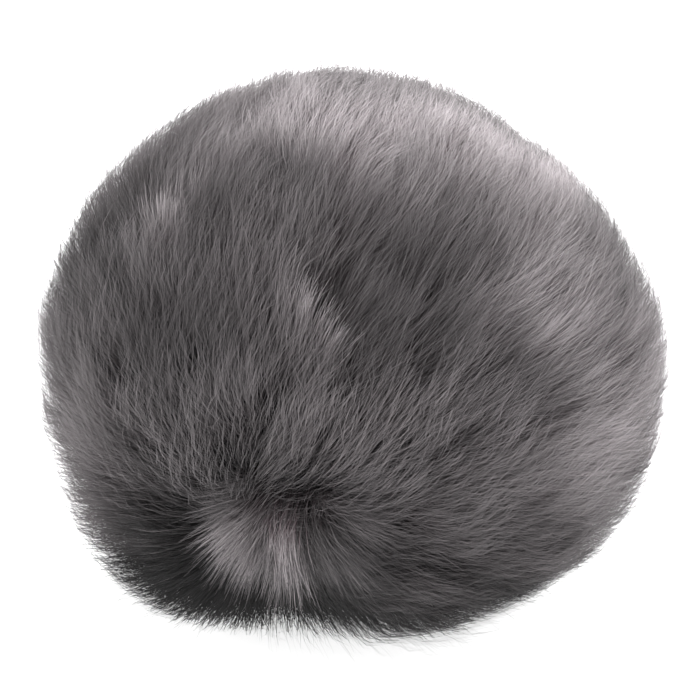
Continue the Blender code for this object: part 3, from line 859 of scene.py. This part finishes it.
def webbing(name, dark, light, roughness, rib=0.9 * MM):
    """Ribbed tape: ribs across it, and a finer thread along them."""
    look = Look(name)
    turn, distance, along = look.round_axis()
    ribs = look.ripple(look.math("MULTIPLY", turn, distance), rib)
    threads = look.ripple(look.math("ADD", along, look.math("MULTIPLY", ribs, 0.2 * MM)), 0.35 * MM)
    cloth = look.math("MULTIPLY_ADD", threads, 0.35, look.math("MULTIPLY", ribs, 0.65))
    look.colour(look.math("MULTIPLY_ADD", look.noise(0.5 * MM), 0.3, cloth), dark, light)
    look.rough(cloth, roughness + 0.05, roughness - 0.1)
    look.bump(cloth, 0.15 * MM)
    return look.material


def foamed(name, dark, light):
    """Open-cell foam."""
    look = Look(name)
    cells = look.cells(0.9 * MM)
    look.colour(look.spread(cells, 0.1, 0.6), dark, light)
    look.rough(cells, 0.85, 0.98)
    look.bump(cells, 0.3 * MM)
    return look.material


def turned_steel(name):
    """Screw steel, with fine scratches."""
    look = Look(name, metallic=1.0)
    fine, slow = look.noise(0.12 * MM, 6.0), look.noise(1.5 * MM)
    look.colour(slow, (0.30, 0.30, 0.31), (0.42, 0.42, 0.43))
    look.rough(fine, 0.24, 0.46)
    look.bump(fine, 0.01 * MM)
    return look.material


def dress():
    """A finish for every piece of the CAD model that stays."""
    cloth = woven("basket_cloth", (0.010, 0.010, 0.011), (0.05, 0.05, 0.053), 0.85)
    lining_cloth = knitted("lining_knit", (0.006, 0.006, 0.007), (0.024, 0.024, 0.026), 0.9, 0.5 * MM)
    shell = moulded("basket_moulded", (0.013, 0.013, 0.014), (0.024, 0.024, 0.026), 0.5)
    collar = moulded("collar_moulded", (0.011, 0.011, 0.012), (0.02, 0.02, 0.022), 0.45, 0.25 * MM)
    rubber = moulded("boot_rubber_matte", (0.007, 0.007, 0.0075), (0.014, 0.014, 0.015), 0.72, 0.5 * MM)
    nylon = moulded("washer_nylon_moulded", (0.60, 0.59, 0.55), (0.72, 0.71, 0.67), 0.42, 0.6 * MM)
    black, dark_grey, rubbed = (0.004, 0.004, 0.0045), (0.008, 0.008, 0.0085), (0.024, 0.024, 0.025)
    grip = gripped("clamp_moulded", black, dark_grey, rubbed)
    tape = webbing("hem_tape_ribbed", (0.006, 0.006, 0.007), (0.03, 0.03, 0.032), 0.8)
    elastic = webbing("hem_elastic_ribbed", (0.015, 0.015, 0.016), (0.06, 0.06, 0.062), 0.7, 1.4 * MM)
    foam = foamed("neck_foam_cells", (0.012, 0.012, 0.013), (0.05, 0.05, 0.052))
    steel = turned_steel("screw_steel_turned")
    finishes = {
        "basket_front_mesh": cloth, "basket_rear_mesh": cloth, "basket_front_half": shell,
        "basket_rear_half": shell, "basket_joining_ring": shell, "neck_collar": collar,
        "mic_collet": collar, "mic_boot": rubber, "collar_seal": rubber, "thrust_washer": nylon,
        "clamp_ring": grip, "hem_tape": tape, "hem_elastic": elastic, "neck_foam": foam,
    }
    finishes.update({f"lining_gore_{place}": lining_cloth for place in PLACES})
    finishes.update({f"collar_screw_{number}": steel for number in (1, 2, 3)})
    for node, finish in finishes.items():
        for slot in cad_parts[node].material_slots:
            slot.material = finish


def studio():
    """A pale, glowing floor that runs out of view, soft lights above and behind, and a white world."""
    mesh = bpy.data.meshes.new("floor")
    bm = bmesh.new()
    bmesh.ops.create_grid(bm, x_segments=1, y_segments=1, size=6.0)
    bm.to_mesh(mesh)
    bm.free()
    floor_material = new_material("floor_lit_paper", (FLOOR_GREY,) * 3, 0.9)
    shader = floor_material.node_tree.nodes["Principled BSDF"]
    shader.inputs["Emission Color"].default_value = (1, 1, 1, 1)
    shader.inputs["Emission Strength"].default_value = FLOOR_GLOW
    mesh.materials.append(floor_material)
    floor = bpy.data.objects.new("floor", mesh)
    bpy.context.scene.collection.objects.link(floor)
    world = bpy.context.scene.world or bpy.data.worlds.new("studio")
    bpy.context.scene.world = world
    world.use_nodes = True
    background = world.node_tree.nodes["Background"]
    background.inputs["Color"].default_value = (1, 1, 1, 1)
    background.inputs["Strength"].default_value = WORLD_STRENGTH
    area_light("key", 2.4, 65.0, Vector((0.35, 0.2, 1.7)))
    area_light("rim", 0.9, 22.0, Vector((0.6, 1.1, 0.75)))
    bpy.context.scene.view_settings.view_transform = "Standard"


def area_light(name, size, power, place):
    """A round light that faces the ball."""
    data = bpy.data.lights.new(name, "AREA")
    data.shape = "DISK"
    data.size = size
    data.energy = power
    light = bpy.data.objects.new(name, data)
    light.location = place
    light.rotation_euler = (place - Vector(CENTRE)).to_track_quat("Z", "Y").to_euler()
    bpy.context.scene.collection.objects.link(light)


def camera():
    """The photo's view, from above the front and a little to the right."""
    data = bpy.data.cameras.new("camera")
    data.lens = LENS
    data.sensor_width = SENSOR
    distance = 2 * PILE_R / BALL_SHARE * LENS / SENSOR
    a, e = math.radians(VIEW_AZIMUTH), math.radians(VIEW_ELEVATION)
    away = Vector((math.sin(a) * math.cos(e), -math.cos(a) * math.cos(e), math.sin(e)))
    cam = bpy.data.objects.new("camera", data)
    target = Vector((0.0, 0.0, CENTRE[2] + 1.0 * MM))
    cam.location = target + away * distance
    cam.rotation_euler = away.to_track_quat("Z", "Y").to_euler()
    data.clip_start = 0.01
    bpy.context.scene.collection.objects.link(cam)
    bpy.context.scene.camera = cam


camera()
studio()
backing()
dress()
fur()
